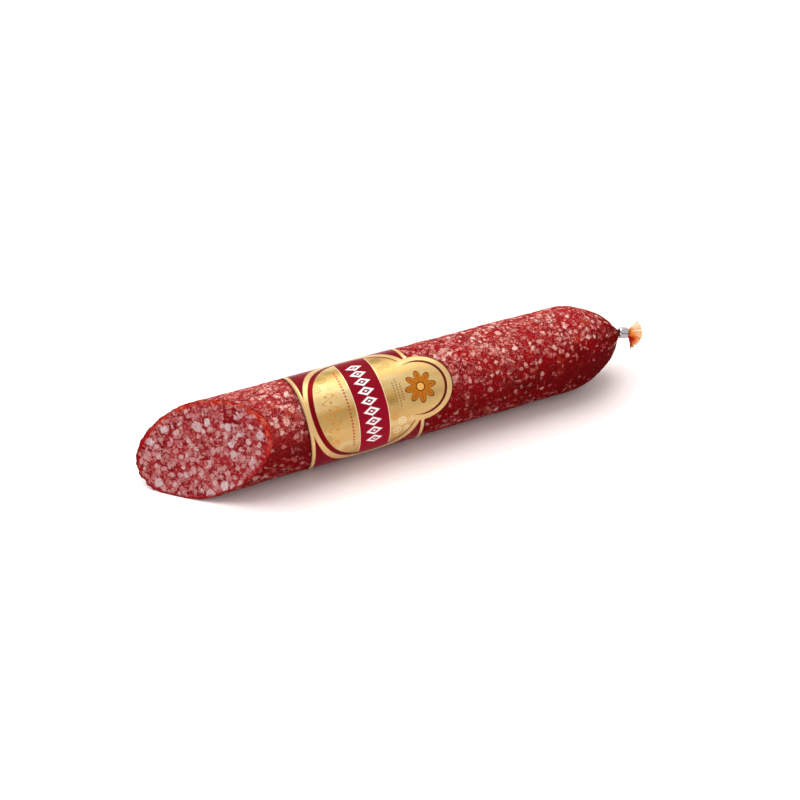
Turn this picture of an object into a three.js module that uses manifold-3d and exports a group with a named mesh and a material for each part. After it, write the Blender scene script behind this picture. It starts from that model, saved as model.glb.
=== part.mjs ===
// A cured sausage with one end cut off on the slant: the meat filling, its casing with the
// gathered tail, the crimped metal clip and the paper label that wraps round it.
// Millimetres, +Z up. The sausage lies along X, from the cut end to the clip end, on a narrow
// flat strip. The exported group has its origin at the bottom centre of its own box.
import * as THREE from "three";
import { mergeVertices } from "three/addons/utils/BufferGeometryUtils.js";
import Module from "manifold-3d";

const wasm = await Module();
wasm.setup();

// ---- Driving dimensions -------------------------------------------------------------------

const bodyRadius = 22.5; // outside of the casing
const bodyLength = 232.4; // from the middle of the cut face to the neck
const capLength = 38; // the rounded end, up to the neck
const capFullness = 1; // 0.5 is an ellipse, 1 a parabola
const restFlatWidth = 10; // the strip that the sausage has settled on
const casingWall = 0.6;
const fitGap = 0.3; // left between pieces that touch

const cutSlopeAcross = -1.0; // how far the cut face runs along X for each unit of Y
const cutSlopeUp = 0.74; // and for each unit of Z

const droop = THREE.MathUtils.degToRad(8); // of the neck, clip and tail, below level
const swing = THREE.MathUtils.degToRad(15); // and to the front

const clipLength = 4.8;
const clipThickness = 4.4;
const clipFlat = 1.4; // length of the flat between its rounded sides
const clipWall = 1.0;
const clipSlit = 0.3; // between the tips of the legs
const clipTipRadius = 0.4;
const clipEdge = 0.25; // bevel on the end faces
const neckRadius = 1.6; // of the rounded end, where the neck leaves it
const clipStandoff = 1; // bare neck between the rounded end and the clip
const clipRoll = THREE.MathUtils.degToRad(-110); // turns the slit from below to the front

const tailLength = 7.4;
const tailWidth = 14.4;
const tailThickness = 5.6;
const tailSweep = 0.45; // share of the length by which the sides of the tail fall short
const tailDish = 3.6; // depth of the hollow in the open end
const pleatCount = 11;
const pleatDepth = 0.15; // share of the local radius, where the tail is widest

const labelWidth = 59;
const labelThickness = 0.3;
const labelFromCut = 45.4; // from the middle of the cut face to the label's near edge
const labelTurn = THREE.MathUtils.degToRad(50); // of the label's middle, from the top to the front
const medallionRadius = 17;
const seamOverlap = 8;
const seamRamp = 4; // the length in which the upper end climbs onto the lower one
const seamGap = 0.15;

const roundSteps = 48; // facets round the body
const capSteps = 9;
const medallionSteps = 20; // facets round the medallion's edge
const labelFacet = 2.6; // longest facet round the rest of the label
const capCrowding = 1.6; // above 1, the steps of the rounded end lie closer together at its tip

// ---- Derived sizes ------------------------------------------------------------------------

const axisHeight = Math.sqrt(bodyRadius ** 2 - (restFlatWidth / 2) ** 2);
const cutX = -bodyLength; // the neck is at x = 0
const cutReach = bodyRadius * Math.hypot(cutSlopeAcross, cutSlopeUp) * 1.1;
const labelNearX = cutX + labelFromCut;
const labelFarX = labelNearX + labelWidth;
const labelInner = bodyRadius + fitGap;
const labelStack = fitGap + labelThickness; // how far the label lifts the casing off the surface
const meatRadius = bodyRadius - casingWall - fitGap;
const meatFloor = labelStack + casingWall + fitGap;
const meatTip = neckRadius / 2;
const meatInset = neckRadius; // the filling ends short of the gathered neck
const clipBore = { w: (clipThickness + clipFlat) / 2 - clipWall, h: clipThickness / 2 - clipWall };
const neck = { w: clipBore.w - fitGap, h: clipBore.h - fitGap };
const tailStart = clipStandoff + clipLength + fitGap;
const tailEnd = tailStart + tailLength;

// ---- Solids -------------------------------------------------------------------------------

// A closed geometry as a manifold-3d solid.
function toSolid(geometry) {
  const bare = geometry.index ? geometry.clone() : mergeVertices(geometry.clone());
  for (const name of ["normal", "uv"]) bare.deleteAttribute(name);
  const merged = mergeVertices(bare, 1e-4);
  return new wasm.Manifold(
    new wasm.Mesh({
      numProp: 3,
      vertProperties: merged.attributes.position.array,
      triVerts: new Uint32Array(merged.index.array),
    }),
  );
}

// A solid back as a geometry with flat faces.
function toGeometry(solid) {
  const mesh = solid.getMesh();
  const geometry = new THREE.BufferGeometry();
  geometry.setAttribute("position", new THREE.BufferAttribute(mesh.vertProperties, 3));
  geometry.setIndex(new THREE.BufferAttribute(mesh.triVerts, 1));
  geometry.computeVertexNormals();
  return geometry;
}

// Moves every vertex of a geometry by a function that changes the vector it is given.
function moveVertices(geometry, move) {
  const position = geometry.attributes.position;
  const v = new THREE.Vector3();
  for (let i = 0; i < position.count; i++) {
    v.fromBufferAttribute(position, i);
    move(v);
    position.setXYZ(i, v.x, v.y, v.z);
  }
  return geometry;
}

// Stands a geometry made in the neck's own frame, along +X from the neck, at its droop and swing.
function hangFromNeck(geometry) {
  geometry.rotateY(droop).rotateZ(-swing);
  geometry.translate(0, 0, axisHeight);
  return geometry;
}

// ---- The body -----------------------------------------------------------------------------

// Radius of the rounded end, a distance from its tip, where it has narrowed to tipRadius.
function capRadius(radius, tipRadius, length, fromTip) {
  const share = 1 - Math.min(fromTip / length, 1);
  return tipRadius + (radius - tipRadius) * (1 - share ** 2) ** capFullness;
}

// Height of the underside: on the surface, but lifted where the label runs beneath.
function casingFloor(x) {
  const past = Math.max(labelNearX - seamGap - x, x - labelFarX - seamGap, 0);
  return labelStack * (1 - THREE.MathUtils.smoothstep(past, 0, seamRamp));
}

// The body as a turned solid whose tip is at x = -inset, flattened underneath.
function body(radius, tipRadius, inset, floorAt) {
  const length = capLength - inset;
  const farEnd = cutX - cutReach;
  const stations = [farEnd];
  for (const edge of [labelNearX, labelFarX]) {
    for (const step of [-seamRamp, -seamRamp / 2, 0, seamRamp / 2, seamRamp]) stations.push(edge + step);
  }
  const profile = [new THREE.Vector2(0, farEnd)];
  for (const x of stations) profile.push(new THREE.Vector2(radius, x));
  for (let i = 0; i <= capSteps; i++) {
    const fromTip = length * (1 - i / capSteps) ** capCrowding;
    profile.push(new THREE.Vector2(capRadius(radius, tipRadius, length, fromTip), -inset - fromTip));
  }
  profile.push(new THREE.Vector2(0, -inset));
  const turned = new THREE.LatheGeometry(profile, roundSteps);
  turned.rotateZ(-Math.PI / 2); // the lathe's Y axis onto X
  turned.translate(0, 0, axisHeight);
  return toSolid(moveVertices(turned, (v) => (v.z = Math.max(v.z, floorAt(v.x)))));
}

// Everything on the far side of the slanted cut.
function cutAway() {
  const size = 20 * bodyRadius;
  const outward = new THREE.Vector3(-1, cutSlopeAcross, cutSlopeUp).normalize();
  const block = new THREE.BoxGeometry(size, size, size);
  block.translate(size / 2, 0, 0);
  block.applyQuaternion(new THREE.Quaternion().setFromUnitVectors(new THREE.Vector3(1, 0, 0), outward));
  block.translate(cutX, 0, axisHeight);
  return toSolid(block);
}

function meatGeometry() {
  return toGeometry(body(meatRadius, meatTip, meatInset, () => meatFloor).subtract(cutAway()));
}

// ---- The neck and tail --------------------------------------------------------------------

// Half width, half thickness and pleat depth of the gathered casing, a distance past the neck.
function gatherAt(t) {
  const spread = THREE.MathUtils.clamp((t - tailStart) / tailLength, 0, 1);
  return {
    w: THREE.MathUtils.lerp(neck.w, tailWidth / 2, spread),
    h: THREE.MathUtils.lerp(neck.h, tailThickness / 2, spread),
    pleat: pleatDepth * spread,
    shortfall: tailSweep * tailLength * spread,
  };
}

// The gathered casing beyond the rounded end: a neck through the clip, then the open tail.
function gather() {
  const rooted = -4; // begins inside the rounded end
  const sections = [rooted, tailStart];
  const flareSteps = 6;
  for (let i = 1; i <= flareSteps; i++) sections.push(tailStart + (tailLength * i) / flareSteps);
  const rod = new THREE.CylinderGeometry(1, 1, sections.length - 1, pleatCount * 4, sections.length - 1);
  rod.rotateZ(-Math.PI / 2); // its axis onto X, from section 0 to the last
  rod.translate((sections.length - 1) / 2, 0, 0);
  moveVertices(rod, (v) => {
    const t = sections[Math.round(v.x)];
    const angle = Math.atan2(v.z, v.y);
    const middle = Math.hypot(v.y, v.z) < 0.5; // the centre of an end cap
    const { w, h, pleat, shortfall } = gatherAt(t);
    const ripple = middle ? 0 : 1 + pleat * Math.cos(pleatCount * angle);
    const back = middle && t > tailStart ? tailDish : shortfall * Math.cos(angle) ** 2;
    v.set(t - back, w * Math.cos(angle) * ripple, h * Math.sin(angle) * ripple);
  });
  rod.rotateX(clipRoll);
  return toSolid(hangFromNeck(rod));
}

function casingGeometry() {
  const outside = body(bodyRadius, neckRadius, 0, casingFloor).add(gather());
  const cavity = body(meatRadius + fitGap, meatTip + fitGap, meatInset - fitGap, () => meatFloor - fitGap);
  return toGeometry(outside.subtract(cavity).subtract(cutAway()));
}

// ---- The clip -----------------------------------------------------------------------------

// A strip bent into a ring with flat sides, whose tips meet at a slit.
function clipGeometry() {
  const outerH = clipThickness / 2;
  const straight = clipFlat / 2;
  const slit = clipSlit / 2;
  const quarter = Math.PI / 2;
  const ring = new THREE.Shape();
  ring.moveTo(slit + clipTipRadius, -outerH);
  ring.lineTo(straight, -outerH);
  ring.absarc(straight, 0, outerH, -quarter, quarter);
  ring.lineTo(-straight, outerH);
  ring.absarc(-straight, 0, outerH, quarter, 3 * quarter);
  ring.lineTo(-slit - clipTipRadius, -outerH);
  ring.absarc(-slit - clipTipRadius, clipTipRadius - outerH, clipTipRadius, -quarter, 0);
  ring.lineTo(-slit, -clipBore.h);
  ring.lineTo(-straight, -clipBore.h);
  ring.absarc(-straight, 0, clipBore.h, 3 * quarter, quarter, true);
  ring.lineTo(straight, clipBore.h);
  ring.absarc(straight, 0, clipBore.h, quarter, -quarter, true);
  ring.lineTo(slit, -clipBore.h);
  ring.lineTo(slit, clipTipRadius - outerH);
  ring.absarc(slit + clipTipRadius, clipTipRadius - outerH, clipTipRadius, 2 * quarter, 3 * quarter);
  const strip = new THREE.ExtrudeGeometry(ring, {
    depth: clipLength - 2 * clipEdge,
    curveSegments: 10,
    bevelThickness: clipEdge,
    bevelSize: clipEdge / 2,
    bevelOffset: -clipEdge / 2,
    bevelSegments: 1,
  });
  strip.rotateX(quarter).rotateZ(quarter); // the extrusion onto +X, the width onto Y
  strip.translate(clipStandoff + clipEdge, 0, 0);
  strip.rotateX(clipRoll);
  return hangFromNeck(strip);
}

// ---- The label ----------------------------------------------------------------------------

// Distances round the label from its middle, closest together where the medallion's edge curves.
function labelColumns() {
  const half = Math.PI * labelInner + seamOverlap / 2;
  const side = half - medallionRadius;
  const sideSteps = Math.ceil(side / labelFacet);
  const columns = [];
  for (let i = 0; i < sideSteps; i++) columns.push(-half + (side * i) / sideSteps);
  for (let i = 0; i <= medallionSteps; i++) {
    const turn = Math.PI * (i / medallionSteps - 0.5);
    columns.push(medallionRadius * Math.sin(turn));
  }
  for (let i = 1; i <= sideSteps; i++) columns.push(medallionRadius + (side * i) / sideSteps);
  return columns;
}

// A strip with a round medallion on its far edge, wrapped round the body, its ends overlapping.
function labelGeometry() {
  const columns = labelColumns();
  const strip = new THREE.BoxGeometry(columns.length - 1, 1, 1, columns.length - 1, 1, 1);
  strip.translate((columns.length - 1) / 2, 0.5, 0.5);
  const rampEnd = Math.PI * labelInner - seamOverlap / 2;
  return moveVertices(strip, (v) => {
    const around = columns[Math.round(v.x)];
    const bulge = Math.sqrt(Math.max(medallionRadius ** 2 - around ** 2, 0));
    const climb = THREE.MathUtils.smoothstep(around, rampEnd - seamRamp, rampEnd);
    const lift = climb * (labelThickness + seamGap);
    const radius = labelInner + lift + labelThickness * v.z;
    const angle = labelTurn + around / labelInner;
    const floor = labelThickness * (1 - v.z);
    v.set(
      labelNearX + (labelWidth + bulge) * v.y,
      -radius * Math.sin(angle),
      Math.max(axisHeight + radius * Math.cos(angle), floor),
    );
  });
}

// ---- The sausage --------------------------------------------------------------------------

function material(color, roughness, metalness = 0) {
  return new THREE.MeshStandardMaterial({ color, roughness, metalness });
}

function part(name, geometry, surface) {
  const mesh = new THREE.Mesh(geometry, surface);
  mesh.name = name;
  return mesh;
}

const sausage = new THREE.Group();
sausage.add(
  part("meat_filling", meatGeometry(), material(0xb0525a, 0.5)),
  part("casing", casingGeometry(), material(0x7a1016, 0.35)),
  part("clip", clipGeometry(), material(0xc4c7cc, 0.35, 1)),
  part("label", labelGeometry(), material(0xd9bf80, 0.4, 0.3)),
);

// The origin goes to the bottom centre of the whole box.
const box = new THREE.Box3().setFromObject(sausage, true);
const centre = box.getCenter(new THREE.Vector3());
sausage.position.set(-centre.x, -centre.y, -box.min.z);

export default sausage;
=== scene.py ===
import math

import bpy
import numpy as np
from mathutils import Matrix, Vector, noise


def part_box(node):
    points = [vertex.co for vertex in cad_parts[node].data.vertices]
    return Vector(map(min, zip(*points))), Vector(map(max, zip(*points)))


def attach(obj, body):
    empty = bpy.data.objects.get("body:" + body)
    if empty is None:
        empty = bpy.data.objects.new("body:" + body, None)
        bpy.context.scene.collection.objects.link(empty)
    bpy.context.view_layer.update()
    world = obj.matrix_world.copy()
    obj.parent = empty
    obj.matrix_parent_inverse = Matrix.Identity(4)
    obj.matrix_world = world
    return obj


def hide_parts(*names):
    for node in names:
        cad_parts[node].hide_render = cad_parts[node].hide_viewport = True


# A cured sausage, cut on the slant at one end and closed by a metal clip at the other, with a
# paper label round it. Shapes are worked out in millimetres in the row's frame and written in
# metres. Round the sausage, an angle counts from the top towards the front.

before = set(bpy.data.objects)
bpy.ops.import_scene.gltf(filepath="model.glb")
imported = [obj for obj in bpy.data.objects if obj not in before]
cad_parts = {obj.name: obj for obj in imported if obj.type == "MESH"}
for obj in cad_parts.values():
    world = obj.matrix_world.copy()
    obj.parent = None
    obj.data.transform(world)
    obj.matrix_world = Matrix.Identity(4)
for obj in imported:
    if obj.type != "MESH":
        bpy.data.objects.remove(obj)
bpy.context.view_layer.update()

MM = 0.001


# ---- Sizes from the frame ------------------------------------------------------------------


def box_mm(node):
    low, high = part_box(node)
    return np.array(low) / MM, np.array(high) / MM


CASING_LOW, CASING_HIGH = box_mm("casing")
LABEL_LOW, LABEL_HIGH = box_mm("label")
_, MEAT_HIGH = box_mm("meat_filling")

NECK_RADIUS = 1.6
BODY_LENGTH = 232.4  # from the middle of the cut face to the neck
CAP_LENGTH = 38.0
CUT_ACROSS = -1.0  # how far the cut runs along X for each unit of Y
CUT_UP = 0.74  # and of Z
LABEL_LIFT = 0.6  # of the casing's underside, above the label
LIFT_RAMP = 4.0

RADIUS = (CASING_HIGH[1] - CASING_LOW[1]) / 2
CENTRE_Y = (CASING_HIGH[1] + CASING_LOW[1]) / 2
AXIS_Z = CASING_HIGH[2] - RADIUS
NECK_X = MEAT_HIGH[0] + NECK_RADIUS
CUT_X = NECK_X - BODY_LENGTH

MEDALLION_RADIUS = 17.0
LABEL_NEAR_X = LABEL_LOW[0]
LABEL_FAR_X = LABEL_HIGH[0] - MEDALLION_RADIUS
LABEL_WIDTH = LABEL_FAR_X - LABEL_NEAR_X
LABEL_TURN = math.radians(50)

DROOP = math.radians(8)  # of the neck, clip and tail, downwards
SWING = math.radians(15)  # towards the front
ROLL = math.radians(-110)  # of the clip round the neck
CLIP_START = 0.6  # past the neck, as is the tail's start
CLIP_LENGTH = 4.8
CLIP_THICKNESS = 4.4
CLIP_FLAT = 1.4
CLIP_WALL = 1.0
TAIL_START = 5.7
TAIL_LENGTH = 7.4
TAIL_WIDTH = 14.4
TAIL_THICKNESS = 5.6
TAIL_FOLDS = 13

FILM = 0.3  # thickness of the casing at its cut edge
TAIL_FILM = 0.16  # and at the tail's rim
END_FOLDS = 15  # round the gathered end of the body
FOLD_SEED = 1.7
GATHER_LENGTH = 26.0  # of the folds, back from the neck

ROUND_STEPS = 240
SKIN_STEPS = 228
LINING_STEPS = 120  # the filling's surface and the casing's inner wall share these
DISC_STEPS = 110
JOIN_STEPS = 14  # where the body's skin turns into the gathered film
NECK_STEPS = 6
TAIL_STEPS = 26
TAIL_LINING_STEPS = 16
LABEL_ROWS = 61
LABEL_SIDE_STEPS = 70  # round the band, on each side of the tab
LABEL_TAB_STEPS = 60

# Bumps of the surface: (height, size, seed) of each layer of noise, in millimetres.
SWELLS = [(0.4, 30.0, 1), (0.22, 8.0, 2)]
PEBBLES = [(0.2, 2.8, 3), (0.1, 1.3, 4)]
FRAYS = [(0.5, 2.4, 8), (0.22, 1.0, 9)]
CUT_RELIEF = [(0.16, 1.9, 5), (0.1, 0.8, 6), (0.25, 11.0, 7)]
LABEL_WAVES = [(0.05, 9.0, 9)]

# The rounded end's shoulder and the dip before its neck: (height, middle from the neck, width).
END_SHAPE = [(0.8, -13.0, 6.5), (-0.55, -3.2, 2.0)]

MEAT_GAP = 0.02  # between the filling and the film
CUT_SINK = 0.12  # the filling's face lies that far inside the film's edge
MEAT_END = -2.2  # of the filling, counted from the neck
HOLLOW_END = -2.0  # of the casing's inner wall


# ---- Helpers -------------------------------------------------------------------------------


def smoothstep(value, low, high):
    share = np.clip((value - low) / (high - low), 0.0, 1.0)
    return share * share * (3.0 - 2.0 * share)


def smooth_max(a, b, rounding):
    return 0.5 * (a + b + np.sqrt((a - b) ** 2 + rounding**2))


def noise_at(points, size, seed):
    """Soft noise from -1 to 1 at each point, with bumps of about that size in millimetres."""
    shift = Vector((seed * 17.31, seed * 5.77, seed * 11.13))
    flat = points.reshape(-1, 3) / size
    values = [noise.noise(Vector(p) + shift) for p in flat]
    return np.array(values).reshape(points.shape[:-1])


def bumps(points, layers):
    return sum(height * noise_at(points, size, seed) for height, size, seed in layers)


def ring_faces(rings, around):
    """Quads between rings of vertices that each close on themselves."""
    faces = []
    for i in range(rings - 1):
        for j in range(around):
            k = (j + 1) % around
            faces.append((i * around + j, i * around + k, (i + 1) * around + k, (i + 1) * around + j))
    return faces


def make_object(name, points, faces, values=None):
    """A smooth mesh object from points in millimetres, with the named numbers at its vertices."""
    mesh = bpy.data.meshes.new(name)
    mesh.from_pydata((points * MM).tolist(), [], faces)
    for key, numbers in (values or {}).items():
        if numbers.ndim == 1:
            layer = mesh.attributes.new(key, "FLOAT", "POINT")
            layer.data.foreach_set("value", numbers.astype(np.float32))
        else:
            layer = mesh.attributes.new(key, "FLOAT_VECTOR", "POINT")
            layer.data.foreach_set("vector", numbers.astype(np.float32).ravel())
    mesh.validate()
    mesh.shade_smooth()
    piece = bpy.data.objects.new(name, mesh)
    bpy.context.scene.collection.objects.link(piece)
    return piece


def place(piece, node, material):
    piece.data.materials.append(material)
    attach(piece, "root")
    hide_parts(node)


# ---- The body's surface --------------------------------------------------------------------

ANGLES = np.arange(ROUND_STEPS) * 2.0 * math.pi / ROUND_STEPS


def bell(value, middle, width):
    return np.exp(-(((value - middle) / width) ** 2))


def body_radius(x):
    """Radius of the casing at x, counted from the neck. The end has a shoulder, then draws in."""
    share = np.clip(1.0 + x / CAP_LENGTH, 0.0, 1.0)
    plain = NECK_RADIUS + (RADIUS - NECK_RADIUS) * (1.0 - share**2)
    return plain + sum(height * bell(x, middle, width) for height, middle, width in END_SHAPE)


def floor_height(x):
    """Height of the underside: on the surface, but lifted where the label runs beneath."""
    past = np.maximum(LABEL_NEAR_X - x, x - LABEL_FAR_X)
    return LABEL_LIFT * (1.0 - smoothstep(past, 0.0, LIFT_RAMP))


def under_label(x, angle, margin, ramp):
    """1 where the label covers the casing and a margin beside it, falling to 0 over the ramp."""
    around = (np.mod(angle - LABEL_TURN + math.pi, 2 * math.pi) - math.pi) * RADIUS
    tab = np.sqrt(np.maximum(MEDALLION_RADIUS**2 - around**2, 0.0))
    outside = np.maximum(LABEL_NEAR_X - x, x - LABEL_FAR_X - tab)
    return 1.0 - smoothstep(outside, margin, margin + ramp)


def pleat_wave(angle, count, seed):
    """The folds round the gathered end: -1 in a valley to 1 on a ridge."""
    drift = 0.5 * np.sin(3 * angle + seed) + 0.35 * np.sin(5 * angle + 2.3 * seed)
    coarse = np.cos(count * angle + 2.0 * drift)
    fine = np.cos((count * 2 - 3) * angle + 3.1 * drift + seed)
    return 0.6 * coarse + 0.4 * fine


def gathering(from_neck_x):
    """From 0 where the end starts to draw in to 1 at the neck."""
    return smoothstep(from_neck_x, -GATHER_LENGTH, -1.5)


def body_points(x, angle, inset):
    """Points on the body at x and angle, arrays of one shape, that far inside the casing's outside."""
    local = x - NECK_X
    radius = body_radius(local)
    straight = np.stack(
        [x, CENTRE_Y - RADIUS * np.sin(angle), AXIS_Z + RADIUS * np.cos(angle)], axis=-1
    )
    covered = under_label(x, angle, 1.0, 2.5)
    free = 1.0 - covered
    swell = bumps(straight, SWELLS)
    pebbles = bumps(straight, PEBBLES)
    swell += 0.8 * covered * free  # the casing swells a little beside the tight label
    cut = CUT_X - CUT_ACROSS * RADIUS * np.sin(angle) + CUT_UP * RADIUS * np.cos(angle)
    frayed = np.exp(-np.abs(x - cut) / 2.5)
    swell += frayed * bumps(straight, FRAYS)
    fullness = radius / RADIUS
    depth = gathering(local) ** 1.4 * np.minimum(0.75, 0.2 * radius)
    folds = depth * (pleat_wave(angle, END_FOLDS, FOLD_SEED) - 0.5)
    radius = radius + free * fullness * (swell + pebbles) + folds - inset
    y = CENTRE_Y - radius * np.sin(angle)
    z = AXIS_Z + radius * np.cos(angle)
    return np.stack([x, y, smooth_max(z, floor_height(x) + inset, 0.3)], axis=-1)


def onto_cut(points):
    """The same points, slid along X onto the plane of the cut."""
    slid = points.copy()
    slid[..., 0] = CUT_X + CUT_ACROSS * (points[..., 1] - CENTRE_Y) + CUT_UP * (points[..., 2] - AXIS_Z)
    return slid


def cut_rim(inset):
    """The x of each point round the edge of the cut, found in a few steps as it is not known first."""
    x = np.full(ROUND_STEPS, CUT_X)
    for _ in range(4):
        x = onto_cut(body_points(x, ANGLES, inset))[:, 0]
    return x


def body_rings(inset, end, steps):
    """Rings of points from the rim of the cut to x = end, counted from the neck."""
    rim = cut_rim(inset)
    share = np.linspace(0.0, 1.0, steps)[:, None]
    share = 1.0 - (1.0 - share) ** 1.25  # closer together towards the neck
    x = rim + (NECK_X + end - rim) * share
    rings = body_points(x, np.broadcast_to(ANGLES, x.shape), inset)
    rings[0] = onto_cut(rings[0])
    return rings


# ---- The meat filling ----------------------------------------------------------------------

CUT_NORMAL = Vector((-1.0, CUT_ACROSS, CUT_UP)).normalized()


def build_meat():
    rings = body_rings(FILM + MEAT_GAP, MEAT_END, LINING_STEPS)
    rim = rings[0]
    middle = rim.mean(axis=0)
    shares = np.arange(1, DISC_STEPS) / DISC_STEPS  # from the middle of the cut to its rim
    disc = onto_cut(middle + (rim - middle) * shares[:, None, None])
    edge = smoothstep(shares[:, None], 0.93, 1.0)
    relief = bumps(disc, CUT_RELIEF) * (1.0 - edge) - CUT_SINK
    disc += np.array(CUT_NORMAL) * relief[..., None]
    centre = onto_cut(middle[None])[0]
    tip = np.array([NECK_X + MEAT_END + 0.3, CENTRE_Y, AXIS_Z])
    points = np.concatenate([disc.reshape(-1, 3), rings.reshape(-1, 3), [centre, tip]])
    count = len(disc) + len(rings)
    faces = ring_faces(count, ROUND_STEPS)
    first, last = len(points) - 2, len(points) - 1
    end = (count - 1) * ROUND_STEPS
    for j in range(ROUND_STEPS):
        k = (j + 1) % ROUND_STEPS
        faces.append((first, k, j))
        faces.append((last, end + j, end + k))
    from_edge = np.zeros(len(points))
    from_edge[: len(disc) * ROUND_STEPS] = np.repeat(1.0 - shares, ROUND_STEPS)
    from_edge[first] = 1.0
    return make_object("meat_body", points, faces, {"from_edge": from_edge})


# ---- The casing ----------------------------------------------------------------------------

NECK_FRAME = Matrix.Rotation(-SWING, 3, "Z") @ Matrix.Rotation(DROOP, 3, "Y")
NECK_FRAME = NECK_FRAME @ Matrix.Rotation(ROLL, 3, "X")
TAIL_TURNS = ANGLES + math.pi / 2 - ROLL  # a ring of the tail starts where the body's rings start
TAIL_SHARES = np.linspace(0.0, 1.0, TAIL_STEPS)  # along the outside, from the clip to the rim
TAIL_LINING_SHARES = np.linspace(1.0, 0.12, TAIL_LINING_STEPS)  # and back down the inside


def from_neck(points):
    """Points in the frame of the neck, X along it, turned and moved into the row's frame."""
    turned = points @ np.array(NECK_FRAME).T
    return turned + np.array([NECK_X, CENTRE_Y, AXIS_Z])


def gather_ring(along, thin):
    """One ring of the gathered film that far past the neck, made thinner all round by thin."""
    turn = TAIL_TURNS
    spread = float(np.clip((along - TAIL_START) / TAIL_LENGTH, 0.0, 1.0))
    half_width = 1.3 + (TAIL_WIDTH / 2 - 1.3) * spread**0.8 - thin
    half_depth = 0.8 + (TAIL_THICKNESS / 2 - 0.8) * spread**1.2 - thin
    folds = pleat_wave(turn, TAIL_FOLDS, 0.6)
    ripple = 1.0 + (0.03 + 0.11 * spread) * folds
    low, high = np.clip(np.cos(turn), 0.0, 1.0), np.clip(-np.cos(turn), 0.0, 1.0)
    ragged = 0.25 * np.sin(7 * turn + 1.0) + 0.2 * np.sin(17 * turn) + 0.15 * np.sin(31 * turn + 2.0)
    ragged *= 0.15 + 0.85 * low**2
    # The rim is a bow: its ends hang further back than its middle, the lower end most.
    back = spread**1.3 * (4.4 * low**1.8 + 2.3 * high**1.6 + ragged - 0.08 * folds)
    curl = spread**2 * (0.9 * low - 0.5 * high)
    ring = np.stack(
        [
            along - back,
            half_width * np.cos(turn) * ripple + 0.9 * spread,
            half_depth * np.sin(turn) * ripple + curl,
        ],
        axis=-1,
    )
    return from_neck(ring)


def casing_rings():
    """The inner wall, the outside from the cut to the tail's rim, and the tail's inside."""
    body = body_rings(0.0, 0.0, SKIN_STEPS)
    joins = np.linspace(-3.0, 0.9, JOIN_STEPS)
    outer = [ring for ring in body if ring[0, 0] < NECK_X + joins[0]]
    for along in joins:
        level = body_points(np.full(ROUND_STEPS, NECK_X + min(along, 0.0)), ANGLES, 0.0)
        level[:, 0] = NECK_X + along
        mix = smoothstep(along, -1.4, 0.9)
        outer.append(level * (1.0 - mix) + gather_ring(along, 0.0) * mix)
    stations = list(np.linspace(1.4, TAIL_START - 0.1, NECK_STEPS))
    stations += list(TAIL_START + TAIL_LENGTH * TAIL_SHARES)
    outer += [gather_ring(along, 0.0) for along in stations]
    lining = []
    for share in TAIL_LINING_SHARES:
        thin = TAIL_FILM + 0.1 * (1.0 - share)
        lining.append(gather_ring(TAIL_START + TAIL_LENGTH * share, thin))
    hollow = body_rings(FILM, HOLLOW_END, LINING_STEPS)
    return hollow[::-1], np.array(outer), np.array(lining)


def build_casing():
    hollow, outer, lining = casing_rings()
    plug = lining[-1].mean(axis=0)
    inner_tip = np.array([NECK_X + HOLLOW_END + 0.4, CENTRE_Y, AXIS_Z])
    rings = np.concatenate([hollow, outer, lining])
    points = np.concatenate([rings.reshape(-1, 3), [inner_tip, plug]])
    faces = ring_faces(len(rings), ROUND_STEPS)
    tip, end = len(points) - 2, (len(rings) - 1) * ROUND_STEPS
    for j in range(ROUND_STEPS):
        k = (j + 1) % ROUND_STEPS
        faces.append((tip, k, j))
        faces.append((tip + 1, end + j, end + k))

    count, in_rings = len(points), len(rings) * ROUND_STEPS
    in_hollow = len(hollow) * ROUND_STEPS
    inside = np.zeros(count)
    inside[:in_hollow] = 1.0
    gather = gathering(points[:, 0] - NECK_X)
    gather[:in_hollow] = 0.0
    turned = np.arctan2(CENTRE_Y - points[:, 1], points[:, 2] - AXIS_Z)
    # The margin along the label's edges, where a line of painted shade goes.
    label_edge_shade = under_label(points[:, 0], turned, 0.3, 1.3)

    tail, fold, stain = np.zeros(count), np.zeros(count), np.zeros(count)
    fold[:in_rings] = np.tile(pleat_wave(ANGLES, END_FOLDS, FOLD_SEED), len(rings))
    shares = np.concatenate([TAIL_SHARES, TAIL_LINING_SHARES])
    in_tail = slice(in_hollow + (len(outer) - TAIL_STEPS) * ROUND_STEPS, in_rings)
    tail[in_tail] = np.repeat(shares, ROUND_STEPS)
    tail_folds = 0.7 * pleat_wave(TAIL_TURNS, TAIL_FOLDS, 0.6) + 0.4 * np.cos(33 * TAIL_TURNS)
    fold[in_tail] = np.tile(tail_folds, len(shares))
    stain[in_tail] = np.tile(np.cos(TAIL_TURNS), len(shares))
    values = {
        "gather": gather, "tail": tail, "fold": fold,
        "inside": inside, "stain": stain, "label_edge_shade": label_edge_shade,
    }
    return make_object("casing_film", points, faces, values)


# ---- The clip ------------------------------------------------------------------------------


def clip_path():
    """The middle line of the bent strip, from one leg's tip at the slit round to the other, as (y, z)."""
    middle = (CLIP_THICKNESS - CLIP_WALL) / 2
    straight = CLIP_FLAT / 2
    path = [(0.3, -middle + 0.32), (0.42, -middle + 0.12), (0.55, -middle + 0.02)]
    for i in range(33):
        turn = math.pi * (i / 32 - 0.5)
        path.append((straight + middle * math.cos(turn), middle * math.sin(turn)))
    half = np.array(path)
    mirrored = half[::-1] * np.array([-1.0, 1.0])
    return np.concatenate([half, mirrored])


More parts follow.
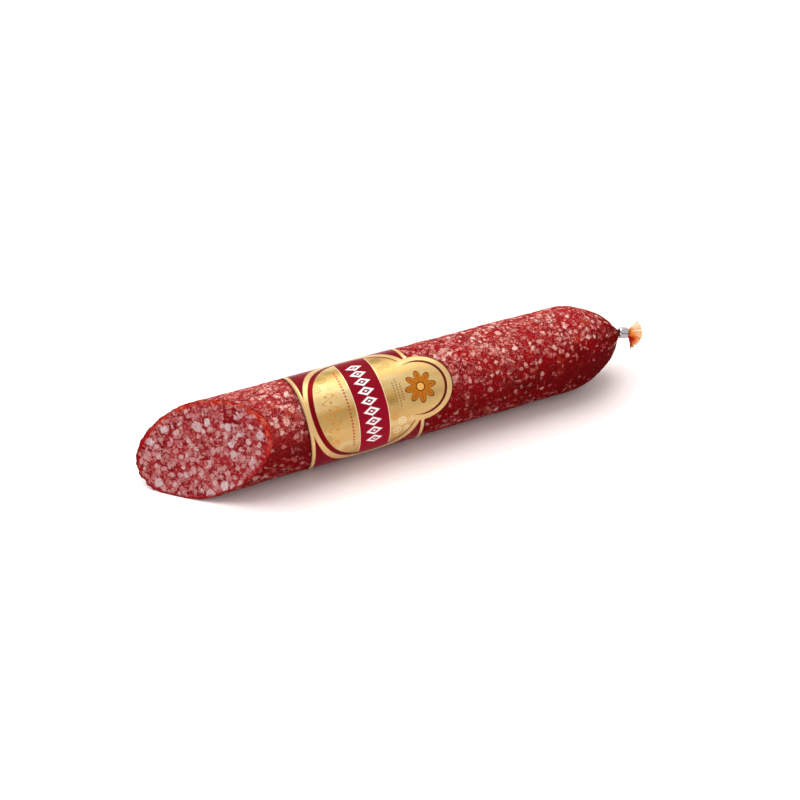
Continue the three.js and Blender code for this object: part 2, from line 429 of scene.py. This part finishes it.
def build_clip():
    path = clip_path()
    ahead = np.gradient(path, axis=0)
    ahead /= np.linalg.norm(ahead, axis=1)[:, None]
    across = np.stack([ahead[:, 1], -ahead[:, 0]], axis=1)
    corners = 24
    middle = CLIP_START + CLIP_LENGTH / 2
    rings = []
    for i, (point, side) in enumerate(zip(path, across)):
        ends = min(i, len(path) - 1 - i)
        pinch = 1.0 - 0.3 * max(0.0, 1.0 - ends / 3)
        ring = []
        for j in range(corners):
            turn = 2 * math.pi * (j + 0.5) / corners
            along = math.copysign(abs(math.cos(turn)) ** 0.35, math.cos(turn)) * CLIP_LENGTH / 2
            out = math.copysign(abs(math.sin(turn)) ** 0.6, math.sin(turn)) * CLIP_WALL / 2 * pinch
            crown = 0.12 * (1 - (2 * along / CLIP_LENGTH) ** 2) if out > 0 else 0.0
            along *= 1.0 - 0.028 * (1 - pinch)
            offset = side * (out + crown)
            ring.append((middle + along, point[0] + offset[0], point[1] + offset[1]))
        rings.append(ring)
    rings = from_neck(np.array(rings))
    caps = [rings[0].mean(axis=0), rings[-1].mean(axis=0)]
    points = np.concatenate([rings.reshape(-1, 3), caps])
    faces = ring_faces(len(rings), corners)
    first, end = len(points) - 2, (len(rings) - 1) * corners
    for j in range(corners):
        k = (j + 1) % corners
        faces.append((first, k, j))
        faces.append((first + 1, end + j, end + k))
    return make_object("clip_strip", points, faces)


# ---- The label -----------------------------------------------------------------------------

LABEL_RISE = 0.34  # of the paper's outside above the casing
PAPER = 0.16
SEAM_OVERLAP = 8.0
SEAM_RAMP = 4.0


def label_outside(along, around, depth):
    """A point of the band: along from its near edge, around from its middle, depth below its face."""
    inner = RADIUS + LABEL_RISE
    ramp_end = math.pi * inner - SEAM_OVERLAP / 2
    climb = smoothstep(around, ramp_end - SEAM_RAMP, ramp_end)
    angle = LABEL_TURN + around / inner
    radius = inner + climb * (PAPER + 0.05) - depth
    x = LABEL_NEAR_X + along
    y = CENTRE_Y - radius * np.sin(angle)
    z = AXIS_Z + radius * np.cos(angle)
    return np.stack([x, y, smooth_max(z, depth + 0.0 * x, 0.15)], axis=-1)


def build_label():
    half = math.pi * (RADIUS + LABEL_RISE) + SEAM_OVERLAP / 2
    tab_shares = np.arange(LABEL_TAB_STEPS + 1) / LABEL_TAB_STEPS
    tab = MEDALLION_RADIUS * np.sin(math.pi * (tab_shares - 0.5))
    ramp = np.linspace(0.0, 1.0, LABEL_SIDE_STEPS + 1)[:-1]
    low = -half + (half - MEDALLION_RADIUS) * ramp
    around = np.concatenate([low, tab, -low[::-1]])
    bulge = np.sqrt(np.maximum(MEDALLION_RADIUS**2 - around**2, 0.0))
    share = np.linspace(0.0, 1.0, LABEL_ROWS)
    along = share[:, None] * (LABEL_WIDTH + bulge)[None, :]
    across = np.broadcast_to(around, along.shape)
    flat = np.stack([along, across, 0 * along], -1)
    wave = bumps(flat, LABEL_WAVES) * np.abs(2 * share[:, None] - 1) ** 3
    top = label_outside(along, across, -wave)
    under = label_outside(along, across, PAPER - wave)
    rows, columns = along.shape
    points = np.concatenate([top.reshape(-1, 3), under.reshape(-1, 3)])
    offset = rows * columns
    faces = []
    for i in range(rows - 1):
        for j in range(columns - 1):
            a, b = i * columns + j, (i + 1) * columns + j
            faces.append((a, a + 1, b + 1, b))
            faces.append((offset + a, offset + b, offset + b + 1, offset + a + 1))
    edge = [(i, 0) for i in range(rows)] + [(rows - 1, j) for j in range(1, columns)]
    edge += [(i, columns - 1) for i in range(rows - 2, -1, -1)]
    edge += [(0, j) for j in range(columns - 2, 0, -1)]
    loop = [i * columns + j for i, j in edge]
    # The quads of the paper's edge face inwards, unlike those of its two sheets.
    for a, b in zip(loop, loop[1:] + loop[:1]):
        faces.append((a, offset + a, offset + b, b))
    printed = flat.reshape(-1, 3)
    under_print = printed.copy()
    under_print[:, 2] = 1.0
    return make_object("label_band", points, faces, {"print": np.concatenate([printed, under_print])})


# ---- Materials -----------------------------------------------------------------------------


class Nodes:
    """The node tree of one material. Each method adds a node and returns its output socket."""

    def __init__(self, name):
        self.material = bpy.data.materials.new(name)
        self.material.use_nodes = True
        self.tree = self.material.node_tree
        self.shader = self.tree.nodes["Principled BSDF"]

    def set(self, socket, value):
        if isinstance(value, bpy.types.NodeSocket):
            self.tree.links.new(value, socket)
        elif isinstance(value, (tuple, list)) and len(value) == 3 and socket.type == "RGBA":
            socket.default_value = (*value, 1.0)
        else:
            socket.default_value = value

    def add(self, kind, output=0, inputs=None, **settings):
        node = self.tree.nodes.new(kind)
        for key, value in settings.items():
            setattr(node, key, value)
        for key, value in (inputs or {}).items():
            self.set(node.inputs[key], value)
        return node.outputs[output]

    def math(self, operation, a, b=0.0, c=0.0):
        return self.add("ShaderNodeMath", inputs={0: a, 1: b, 2: c}, operation=operation)

    def product(self, *factors):
        result = factors[0]
        for factor in factors[1:]:
            result = self.math("MULTIPLY", result, factor)
        return result

    def total(self, *parts):
        result = parts[0]
        for part in parts[1:]:
            result = self.math("ADD", result, part)
        return result

    def between(self, share, low, high):
        """A number from low to high as share goes from 0 to 1."""
        return self.math("MULTIPLY_ADD", share, high - low, low)

    def vector(self, operation, a, b):
        return self.add("ShaderNodeVectorMath", inputs={0: a, 1: b}, operation=operation)

    def mix(self, share, a, b):
        return self.add("ShaderNodeMix", 2, {0: share, 6: a, 7: b}, data_type="RGBA")

    def step(self, value, low, high):
        """0 at low, 1 at high, smooth between. low may be the higher one."""
        return self.add(
            "ShaderNodeMapRange", 0, {0: value, 1: low, 2: high}, interpolation_type="SMOOTHSTEP"
        )

    def noise(self, where, scale, detail=2.0, output=0):
        return self.add("ShaderNodeTexNoise", output, {"Vector": where, "Scale": scale, "Detail": detail})

    def number(self, name):
        return self.add("ShaderNodeAttribute", 2, attribute_name=name)

    def split(self, value):
        node = self.tree.nodes.new("ShaderNodeSeparateXYZ")
        self.tree.links.new(value, node.inputs[0])
        return node.outputs

    def millimetres(self):
        where = self.add("ShaderNodeTexCoord", 3)
        return self.add("ShaderNodeVectorMath", inputs={0: where, 3: 1.0 / MM}, operation="SCALE")

    def finish(self, color, roughness, height=None, relief=0.1, **constants):
        """Links the surface up. height is 0 to 1, and relief is what 1 stands for in millimetres."""
        self.set(self.shader.inputs["Base Color"], color)
        self.set(self.shader.inputs["Roughness"], roughness)
        if height is not None:
            bump = self.add(
                "ShaderNodeBump", inputs={"Height": height, "Distance": relief * MM, "Strength": 1.0}
            )
            self.set(self.shader.inputs["Normal"], bump)
            self.set(self.shader.inputs["Coat Normal"], bump)
        for key, value in constants.items():
            self.set(self.shader.inputs[key.replace("_", " ")], value)
        return self.material


def torn_space(g):
    """The row's millimetres, plain and then warped, so that chopped pieces look torn, not cut."""
    where = g.millimetres()
    torn = where
    for scale, pull in [(0.5, 2.4), (1.9, 0.7)]:
        warp = g.noise(where, scale, 2.0, output=1)
        shift = g.vector("MULTIPLY", g.vector("SUBTRACT", warp, (0.5, 0.5, 0.5)), (pull, pull, pull))
        torn = g.vector("ADD", torn, shift)
    return where, torn


def grains(g, where, cell, share, reach):
    """Rounded grains in that share of the cells, reach cells in radius: (mask, random per grain)."""
    near = g.add("ShaderNodeTexVoronoi", 0, {"Vector": where, "Scale": 1.0 / cell})
    red, green, blue = g.split(near.node.outputs[1])
    size = g.between(blue, reach * 0.6, reach)
    body = g.step(g.math("SUBTRACT", size, near), -0.04, 0.07)
    return g.product(g.math("LESS_THAN", red, share), body), green


def chunks(g, where, cell, share, gap):
    """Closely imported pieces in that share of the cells, with thin gaps: (mask, random per piece)."""
    near = g.add("ShaderNodeTexVoronoi", 0, {"Vector": where, "Scale": 1.0 / cell})
    edge = g.add(
        "ShaderNodeTexVoronoi", 0, {"Vector": where, "Scale": 1.0 / cell}, feature="DISTANCE_TO_EDGE"
    )
    red, green, blue = g.split(near.node.outputs[1])
    body = g.product(g.step(edge, gap * 0.4, gap), g.step(near, 0.75, 0.6))
    return g.product(g.math("LESS_THAN", red, share), body), green


def meat_material():
    g = Nodes("meat_cut")
    where, torn = torn_space(g)
    cloud = g.noise(where, 0.14, 3.0)
    grain = g.noise(where, 1.7, 4.0)
    blotch = g.noise(torn, 0.55, 3.0)
    color = g.mix(g.step(grain, 0.34, 0.68), (0.09, 0.0005, 0.002), (0.27, 0.006, 0.012))
    color = g.mix(g.product(g.step(cloud, 0.4, 0.62), 0.6), color, (0.38, 0.03, 0.04))

    small, tone = chunks(g, torn, 1.15, 0.62, 0.13)
    color = g.mix(g.product(small, 0.85), color, g.mix(tone, (0.4, 0.06, 0.065), (0.58, 0.24, 0.22)))
    middle, tone = chunks(g, torn, 2.4, 0.6, 0.09)
    color = g.mix(g.product(middle, 0.92), color, g.mix(tone, (0.4, 0.08, 0.085), (0.6, 0.33, 0.32)))
    mottled = g.step(blotch, 0.44, 0.62)
    color = g.mix(g.product(mottled, 0.36), color, (0.24, 0.005, 0.01))
    round_fat, tone = grains(g, torn, 3.3, 0.6, 0.48)
    color = g.mix(g.product(round_fat, 0.9), color, g.mix(tone, (0.46, 0.19, 0.19), (0.62, 0.42, 0.41)))
    big_fat, tone = grains(g, torn, 6.2, 0.34, 0.44)
    color = g.mix(g.product(big_fat, 0.92), color, g.mix(tone, (0.54, 0.36, 0.36), (0.64, 0.52, 0.55)))
    threads = g.step(g.noise(torn, 1.2, 4.0), 0.55, 0.62)
    color = g.mix(g.product(threads, 0.6), color, (0.19, 0.003, 0.007))

    z = g.split(where)[2]
    from_edge = g.number("from_edge")
    ragged = g.noise(where, 0.7, 3.0)
    upper = g.step(z, AXIS_Z - 8.0, AXIS_Z + 8.0)
    depth = g.product(from_edge, g.between(upper, 2.2, 1.0))
    rim = g.step(g.total(depth, g.between(ragged, -0.13, 0.13)), 0.1, 0.05)
    # The cut's rim is the casing's own dark red. It is lighter on its upper half and orange in patches
    # near the top: painted light glowing through the film's edge.
    high = g.product(g.step(z, AXIS_Z, AXIS_Z + 18.0), g.step(g.noise(torn, 0.5, 3.0), 0.48, 0.58))
    rim_color = g.mix(high, g.mix(upper, (0.26, 0.002, 0.004), (0.4, 0.006, 0.006)), (0.66, 0.1, 0.03))
    color = g.mix(g.product(rim, 0.85), color, rim_color)
    height = g.total(g.product(middle, 0.4), g.product(small, 0.25), g.product(round_fat, 0.5))
    height = g.total(height, g.product(big_fat, 0.5), g.product(grain, 0.4))
    return g.finish(
        color, g.between(grain, 0.2, 0.5), height, 0.25,
        Subsurface_Weight=0.03, Subsurface_Scale=0.001, Specular_IOR_Level=0.0,
        Coat_Weight=0.015, Coat_IOR=2.0, Coat_Roughness=0.1,
    )


def tail_color(g, tail, fold, film):
    """Of the fanned film: dark at the clip as painted shade, then orange and then cream, with blood in
    its lower part.
    """
    past_clip = g.step(tail, 0.02, 0.1)
    # Dark where the film leaves the clip: painted shade.
    root = g.mix(g.step(tail, 0.04, 0.3), (0.15, 0.018, 0.007), (0.8, 0.24, 0.03))
    fan = g.mix(g.step(tail, 0.25, 0.9), root, (0.93, 0.72, 0.42))
    crease = g.product(g.step(fold, 0.3, -0.4), g.between(tail, 1.0, 0.6), past_clip)
    fan = g.mix(crease, fan, (0.82, 0.26, 0.03))
    stain = g.number("stain")
    cream = g.product(g.step(stain, 0.1, -0.6), g.step(tail, 0.15, 0.55), g.step(fold, -0.6, 0.1))
    fan = g.mix(g.product(cream, 0.85), fan, (0.93, 0.84, 0.62))
    rust = g.product(g.step(stain, -0.1, 0.5), g.step(tail, 1.05, 0.65), past_clip, 0.85)
    fan = g.mix(rust, fan, (0.78, 0.14, 0.012))
    blood = g.product(
        g.step(stain, 0.2, 0.5), g.step(tail, 0.8, 0.45), g.step(film, 0.36, 0.46), past_clip
    )
    fan = g.mix(g.product(blood, 0.95), fan, (0.4, 0.004, 0.006))
    scorched = g.product(g.step(stain, 0.86, 0.97), g.step(tail, 0.4, 0.8), 0.8)
    return g.mix(scorched, fan, (0.3, 0.03, 0.02))


def casing_material():
    g = Nodes("casing_skin")
    where, torn = torn_space(g)
    x, _, z = g.split(where)
    cloud = g.noise(where, 0.1, 3.0)
    grain = g.noise(where, 1.5, 4.0)
    left = g.step(x, LABEL_NEAR_X + 12.0, LABEL_NEAR_X - 14.0)
    # top rises towards the upper side, where the skin is lighter, redder and more flecked: partly the
    # meat's own tone, partly painted light from above. lower is the painted shade below it.
    top = g.step(z, AXIS_Z - 2.0, AXIS_Z + 22.0)
    lower = g.math("SUBTRACT", 1.0, top)
    end = g.product(g.step(x, NECK_X - 85.0, NECK_X - 30.0), g.step(x, NECK_X - 3.0, NECK_X - 9.0))
    # The lower side of the rounded end is darker, with fewer flecks: partly the meat's own tone, partly
    # painted shade.
    low_end_tone_and_shade = g.product(end, lower)
    least = g.between(g.step(x, NECK_X - 50.0, NECK_X - 95.0), 0.25, 0.5)
    rich = g.total(least, g.product(top, g.math("SUBTRACT", 1.0, least)))
    rich = g.product(rich, g.between(g.step(cloud, 0.62, 0.38), 0.6, 1.0), g.between(low_end_tone_and_shade, 1.0, 0.15))
    # More pale flecks on the lower side, away from the end: painted light bounced up from the floor.
    floor_bounce = g.product(g.step(z, AXIS_Z, AXIS_Z - 14.0), g.step(x, NECK_X - 15.0, NECK_X - 45.0))
    rich = g.total(rich, g.product(floor_bounce, 0.3))
    # Flecks are fainter on the lower side: partly painted shade.
    strength = g.between(top, 0.36, 1.0)

    streaky = g.step(grain, 0.36, 0.7)
    low_ground = g.mix(streaky, (0.045, 0.0005, 0.0008), (0.2, 0.0022, 0.0035))
    high_ground = g.mix(streaky, (0.1, 0.0006, 0.0015), (0.38, 0.003, 0.008))
    # The ground is lighter on the upper side: partly painted light from above.
    color = g.mix(top, low_ground, high_ground)
    clouded = g.product(g.step(cloud, 0.35, 0.6), g.between(top, 0.15, 0.45))
    color = g.mix(clouded, color, (0.42, 0.005, 0.01))
    # Darkening of the end's lower side: partly own tone, partly painted shade.
    color = g.mix(g.product(low_end_tone_and_shade, 0.6), color, (0.05, 0.0005, 0.001))
    tiny, _ = chunks(g, torn, 0.85, g.product(rich, 0.5), 0.16)
    color = g.mix(g.product(tiny, strength, 0.65), color, (0.46, 0.05, 0.048))
    small, tone = chunks(g, torn, 1.8, g.product(rich, 0.66), 0.12)
    pink = g.mix(tone, (0.42, 0.04, 0.035), (0.72, 0.3, 0.26))
    color = g.mix(g.product(small, strength), color, pink)
    spots, tone = grains(g, torn, 3.1, g.product(rich, 0.7), 0.44)
    pale = g.mix(tone, (0.6, 0.17, 0.14), (0.9, 0.58, 0.51))
    color = g.mix(g.product(spots, strength), color, pale)
    large, tone = grains(g, torn, 4.6, g.product(rich, 0.32), 0.4)
    color = g.mix(g.product(large, strength), color, g.mix(tone, (0.64, 0.24, 0.2), (0.9, 0.6, 0.54)))
    thread = g.step(g.noise(torn, 1.1, 4.0), 0.55, 0.62)
    color = g.mix(g.product(thread, 0.7), color, (0.15, 0.0015, 0.003))
    crack = g.step(g.noise(where, 2.4, 3.0), 0.52, 0.6)
    color = g.mix(g.product(crack, 0.4), color, (0.08, 0.0005, 0.0012))
    # Tiny pale-pink specks on the upper side: painted glints.
    painted_glints = g.step(g.noise(torn, 2.0, 3.0), 0.62, 0.67)
    color = g.mix(g.product(painted_glints, strength, g.step(rich, 0.35, 0.8), 0.7), color, (0.92, 0.64, 0.6))
    orange = g.step(g.noise(where, 0.17, 2.0), 0.58, 0.7)
    color = g.mix(g.product(orange, g.between(top, 0.05, 0.35)), color, (0.55, 0.06, 0.015))
    color = g.mix(g.product(left, top, g.step(grain, 0.5, 0.62), 0.15), color, (0.7, 0.33, 0.3))
    # A dark line on the casing along the label's edges: painted shade.
    color = g.mix(g.product(g.number("label_edge_shade"), 0.85), color, (0.05, 0.001, 0.001))

    gather, fold, tail = g.number("gather"), g.number("fold"), g.number("tail")
    film = g.noise(torn, 0.9, 3.0)
    patchy = g.product(g.step(film, 0.48, 0.56), g.step(g.noise(where, 0.22, 2.0), 0.4, 0.58))
    # Pale streaks on the ridges of the gathered folds: painted highlights.
    ridge_highlight = g.product(g.step(fold, 0.15, 0.7), g.step(gather, 0.25, 0.9), patchy)
    color = g.mix(g.product(ridge_highlight, 0.9), color, g.mix(tone, (0.6, 0.26, 0.18), (0.85, 0.64, 0.48)))
    # Darker in the valleys between the gathered folds: painted shade.
    valley = g.product(g.step(fold, 0.1, -0.6), g.step(gather, 0.1, 0.9))
    color = g.mix(g.product(valley, 0.7), color, (0.1, 0.0015, 0.002))
    color = g.mix(g.step(gather, 0.97, 1.0), color, tail_color(g, tail, fold, film))
    color = g.mix(g.number("inside"), color, (0.2, 0.01, 0.01))
    height = g.total(g.product(small, 0.5), g.product(spots, 0.8), g.product(large, 0.6))
    height = g.total(height, g.product(g.noise(where, 0.7, 2.0), 1.4), g.product(grain, 0.7))
    return g.finish(
        color, g.between(grain, 0.06, 0.26), height, 0.26,
        Specular_IOR_Level=0.0, Coat_Weight=0.018, Coat_IOR=2.0, Coat_Roughness=0.12,
    )


def clip_material():
    g = Nodes("clip_aluminium")
    where = g.millimetres()
    drawn = g.vector("MULTIPLY", where, (0.6, 5.0, 5.0))
    lines = g.noise(drawn, 1.6, 5.0)
    dents = g.noise(where, 0.9, 2.0)
    color = g.mix(g.step(lines, 0.3, 0.75), (0.3, 0.3, 0.32), (0.62, 0.62, 0.65))
    height = g.total(g.product(lines, 0.3), dents)
    return g.finish(color, g.between(lines, 0.28, 0.5), height, 0.12, Metallic=1.0)


class Print:
    """Shapes printed on the label, each a mask from 0 to 1. They are placed in millimetres, x from its
    near edge and y round from its middle."""

    def __init__(self, g):
        self.g = g
        self.flat = g.add("ShaderNodeAttribute", 1, attribute_name="print")
        self.x, self.y, self.side = g.split(self.flat)

    def from_point(self, x, y):
        return self.g.math("SUBTRACT", self.x, x), self.g.math("SUBTRACT", self.y, y)

    def length(self, dx, dy):
        g = self.g
        return g.math("SQRT", g.total(g.product(dx, dx), g.product(dy, dy)))

    def ellipse(self, x, y, half_x, half_y):
        g = self.g
        dx, dy = self.from_point(x, y)
        far = self.length(g.math("DIVIDE", dx, half_x), g.math("DIVIDE", dy, half_y))
        soft = 0.12 / half_x
        return g.step(far, 1.0 + soft, 1.0 - soft)

    def strip(self, low, high):
        g = self.g
        return g.product(g.step(self.x, low - 0.1, low + 0.1), g.step(self.x, high + 0.1, high - 0.1))

    def ring(self, x, y, radius, half_line):
        g = self.g
        off = g.math("ABSOLUTE", g.math("SUBTRACT", self.length(*self.from_point(x, y)), radius))
        return g.step(off, half_line + 0.1, half_line - 0.1)

    def row(self, x, pitch, shift, half_x, half_y, count, hollow=-1.0):
        """Lozenges along the band, one every pitch, the first pitch * shift off the middle. hollow is the
        share of each that is left open."""
        g = self.g
        dx = g.math("ABSOLUTE", g.math("SUBTRACT", self.x, x))
        moved = g.math("SUBTRACT", self.y, shift * pitch)
        beat = g.math("ABSOLUTE", g.math("WRAP", moved, pitch / 2, -pitch / 2))
        off = g.total(g.math("DIVIDE", dx, half_x), g.math("DIVIDE", beat, half_y))
        reach = pitch * count / 2
        within = g.step(g.math("ABSOLUTE", self.y), reach + 0.01, reach - 0.01)
        return g.product(g.step(off, 1.08, 0.92), g.step(off, hollow - 0.08, hollow + 0.08), within)

    def spiral(self, x, y, size, turn):
        g = self.g
        dx, dy = self.from_point(x, y)
        far = self.length(dx, dy)
        angle = g.math("ARCTAN2", g.product(dy, turn), dx)
        arm = g.total(g.math("DIVIDE", far, size * 0.45), g.math("DIVIDE", angle, 2 * math.pi))
        off = g.math("ABSOLUTE", g.math("SUBTRACT", g.math("FRACT", arm), 0.5))
        return g.product(g.step(off, 0.24, 0.13), g.step(far, size, size * 0.9))

    def vine(self, x, low, high, sway, pitch):
        """A wavy stem along the band with a berry in each bend."""
        g = self.g
        phase = g.product(g.math("SUBTRACT", self.y, low), 2 * math.pi / pitch)
        bend = g.product(g.math("SINE", phase), sway)
        off = g.math("SUBTRACT", self.x, x)
        stem = g.step(g.math("ABSOLUTE", g.math("SUBTRACT", off, bend)), 0.62, 0.35)
        hollow = g.total(off, g.product(g.math("SIGN", bend), sway * 0.25))
        beat = g.math("WRAP", g.math("SUBTRACT", self.y, low + pitch / 4), pitch / 4, -pitch / 4)
        berry = g.step(self.length(hollow, beat), 0.85, 0.6)
        within = g.product(g.step(self.y, low - 0.1, low + 0.1), g.step(self.y, high + 0.1, high - 0.1))
        return g.product(g.math("MAXIMUM", stem, berry), within)


def label_material():
    g = Nodes("label_foil")
    p = Print(g)
    panel_x, medal_x = 30.5, LABEL_WIDTH
    rosette_x = medal_x + 0.4
    # Slow lighter and darker bands of gold round the band: painted sheen of the foil.
    painted_sheen = g.noise(g.vector("MULTIPLY", p.flat, (0.012, 0.075, 0.0)), 1.0, 2.0)
    cloudy = g.noise(g.vector("MULTIPLY", p.flat, (0.16, 0.11, 0.0)), 1.0, 2.0)
    gold = g.mix(g.step(painted_sheen, 0.36, 0.5), (0.42, 0.25, 0.07), (0.56, 0.37, 0.13))
    gold = g.mix(g.step(painted_sheen, 0.5, 0.62), gold, (0.64, 0.5, 0.24))
    gold = g.mix(g.product(g.step(cloudy, 0.45, 0.75), 0.4), gold, (0.6, 0.34, 0.1))
    bright, dark = (0.66, 0.44, 0.19), (0.17, 0.002, 0.006)
    wine = g.mix(g.step(p.y, 18.0, -22.0), (0.28, 0.004, 0.018), (0.19, 0.002, 0.009))
    backing = g.mix(g.step(cloudy, 0.3, 0.7), (0.14, 0.001, 0.006), (0.2, 0.003, 0.011))

    foil = g.math("MAXIMUM", p.strip(-1.0, 1.8), p.strip(LABEL_WIDTH - 1.8, LABEL_WIDTH + 1.0))
    color = g.mix(foil, backing, bright)
    outer = p.ellipse(panel_x, 0.0, 29.6, 34.5)
    color = g.mix(outer, color, bright)
    color = g.mix(p.ellipse(panel_x, 0.0, 27.7, 30.6), color, dark)
    panel = p.ellipse(panel_x + 1.1, 0.0, 26.3, 28.8)
    color = g.mix(panel, color, gold)

    olive, copper, cream = (0.14, 0.13, 0.03), (0.55, 0.15, 0.02), (0.95, 0.86, 0.62)
    for x, y, size, turn, ink in [
        (9.6, -12.0, 2.7, 1, olive), (14.2, -17.6, 3.0, -1, olive), (19.0, -21.5, 2.2, 1, olive),
        (8.6, 12.6, 2.4, -1, olive), (12.6, 17.2, 2.8, 1, copper), (17.6, 20.6, 2.4, -1, copper),
        (44.6, -21.0, 2.7, 1, olive), (47.6, -16.0, 2.2, -1, olive), (44.0, -14.6, 1.8, 1, olive),
        (43.8, 4.0, 2.0, 1, olive), (43.6, 10.6, 2.2, -1, copper), (47.4, 14.2, 2.5, 1, cream),
        (44.6, 18.8, 2.5, -1, cream), (49.6, 19.2, 2.0, 1, cream), (53.0, 14.2, 1.7, -1, cream),
    ]:
        color = g.mix(g.product(p.spiral(x, y, size, turn), panel, 0.7), color, ink)
    color = g.mix(g.product(p.vine(13.0, -9.0, 11.0, 3.2, 6.6), 0.9), color, (0.6, 0.24, 0.03))
    beads = p.row(21.6, 1.7, 0.0, 0.7, 0.62, 25)
    color = g.mix(g.product(beads, panel, 0.9), color, (0.4, 0.02, 0.03))

    band = g.product(p.strip(25.0, 40.5), panel)
    color = g.mix(g.product(p.strip(24.6, 40.9), panel), color, (0.78, 0.66, 0.4))
    color = g.mix(band, color, wine)
    lozenges, dots = p.row(32.2, 5.0, 0.0, 4.3, 2.25, 9, 0.56), p.row(32.2, 5.0, 0.0, 0.9, 0.5, 9)
    marks = g.product(g.math("MAXIMUM", lozenges, dots), band)
    color = g.mix(marks, color, (0.9, 0.87, 0.88))

    disc = p.ellipse(medal_x, 0.0, MEDALLION_RADIUS, MEDALLION_RADIUS)
    color = g.mix(g.product(disc, g.step(p.x, medal_x - 9.0, medal_x - 4.0)), color, bright)
    color = g.mix(p.ellipse(medal_x, 0.0, 13.4, 13.4), color, g.mix(0.35, gold, (0.62, 0.44, 0.19)))
    dx, dy = p.from_point(medal_x, 0.0)
    turn = g.math("ABSOLUTE", g.math("ARCTAN2", dy, dx))
    half_line = g.product(g.step(turn, math.radians(124), math.radians(60)), 0.65)
    off = g.math("ABSOLUTE", g.math("SUBTRACT", p.length(dx, dy), 13.7))
    arc = g.product(g.step(g.math("SUBTRACT", off, half_line), 0.1, -0.08), g.step(turn, 2.12, 2.08))
    color = g.mix(arc, color, (0.1, 0.012, 0.008))

    for x, count in [(46.0, 9), (47.7, 11), (49.4, 7)]:
        color = g.mix(g.product(p.row(x, 1.3, 0.0, 0.5, 0.5, count), 0.8), color, (0.22, 0.08, 0.03))

    rx, ry = p.from_point(rosette_x, 0.0)
    spoke = g.math("ARCTAN2", ry, rx)
    petal = g.math("ABSOLUTE", g.math("COSINE", g.product(spoke, 4.0)))
    inside = g.math("SUBTRACT", g.between(petal, 4.2, 8.0), p.length(rx, ry))
    vein = g.step(g.math("ABSOLUTE", g.math("SINE", g.product(spoke, 4.0))), 0.16, 0.06)
    color = g.mix(g.step(inside, -0.35, -0.1), color, (0.1, 0.02, 0.004))
    color = g.mix(g.step(inside, 0.2, 0.45), color, (0.5, 0.16, 0.014))
    color = g.mix(g.product(vein, g.step(inside, 1.2, 1.5)), color, (0.24, 0.06, 0.006))
    color = g.mix(p.ellipse(rosette_x, 0.0, 2.1, 2.1), color, (0.78, 0.45, 0.12))
    color = g.mix(p.ring(rosette_x, 0.0, 2.1, 0.25), color, (0.1, 0.02, 0.004))

    color = g.mix(p.side, color, (0.7, 0.67, 0.62))
    golden = g.math("MAXIMUM", g.math("MAXIMUM", outer, foil), disc)
    shiny = g.product(golden, g.math("SUBTRACT", 1.0, band))
    fibre = g.noise(g.millimetres(), 5.0, 3.0)
    height = g.total(g.product(fibre, 0.3), g.product(marks, 0.4), g.product(cloudy, 0.8))
    g.set(g.shader.inputs["Metallic"], g.product(shiny, 0.45))
    return g.finish(color, g.between(cloudy, 0.2, 0.32), height, 0.04, Specular_IOR_Level=0.03)


# ---- The camera and the stage --------------------------------------------------------------

CAMERA_FROM_NECK = Vector((-353.9, -452.4, 349.9))
CAMERA_ELEVATION = math.radians(35.0)
CAMERA_AZIMUTH = math.radians(26.34)
SENSOR_WIDTH = 36.0  # in millimetres, as is the lens
LENS = 55.665
FLOOR_HALF = 3.0  # metres, as are the lamps' places and sizes


def build_camera():
    """Looks down at the sausage from the front left."""
    data = bpy.data.cameras.new("camera")
    data.sensor_width = SENSOR_WIDTH
    data.lens = LENS
    data.clip_start, data.clip_end = 0.01, 20.0
    camera = bpy.data.objects.new("camera", data)
    camera.location = (Vector((NECK_X, CENTRE_Y, AXIS_Z)) + CAMERA_FROM_NECK) * MM
    camera.rotation_euler = (math.pi / 2 - CAMERA_ELEVATION, 0.0, -CAMERA_AZIMUTH)
    bpy.context.scene.collection.objects.link(camera)
    bpy.context.scene.camera = camera


def area_light(name, place_at, size, power, color, only_gloss=False):
    """A round lamp aimed at the middle of the scene."""
    data = bpy.data.lights.new(name, "AREA")
    data.shape = "DISK"
    data.size, data.energy, data.color = size, power, color
    light = bpy.data.objects.new(name, data)
    light.location = place_at
    light.rotation_euler = (-Vector(place_at)).to_track_quat("-Z", "Y").to_euler()
    light.visible_diffuse = not only_gloss
    bpy.context.scene.collection.objects.link(light)


def build_stage():
    corners = np.array([(-1, -1, 0), (1, -1, 0), (1, 1, 0), (-1, 1, 0)]) * FLOOR_HALF / MM
    floor = make_object("floor", corners, [(0, 1, 2, 3)])
    g = Nodes("floor_white")
    mottle = g.noise(g.millimetres(), 0.02, 2.0)
    color = g.mix(mottle, (0.92, 0.86, 0.85), (0.94, 0.88, 0.87))
    floor.data.materials.append(g.finish(color, 0.6, Specular_IOR_Level=0.2))
    area_light("softbox", (-0.15, 0.55, 1.5), 1.9, 25.0, (1.0, 0.99, 0.98))
    area_light("glint", (-0.5, 0.5, 1.2), 0.2, 42.0, (1.0, 0.97, 0.95), only_gloss=True)
    world = bpy.data.worlds.new("world")
    world.use_nodes = True
    sky = world.node_tree.nodes["Background"]
    sky.inputs[0].default_value = (1.0, 0.94, 0.925, 1.0)
    sky.inputs[1].default_value = 0.88
    bpy.context.scene.world = world
    bpy.context.scene.view_settings.view_transform = "Standard"


place(build_meat(), "meat_filling", meat_material())
place(build_casing(), "casing", casing_material())
place(build_clip(), "clip", clip_material())
place(build_label(), "label", label_material())
build_camera()
build_stage()
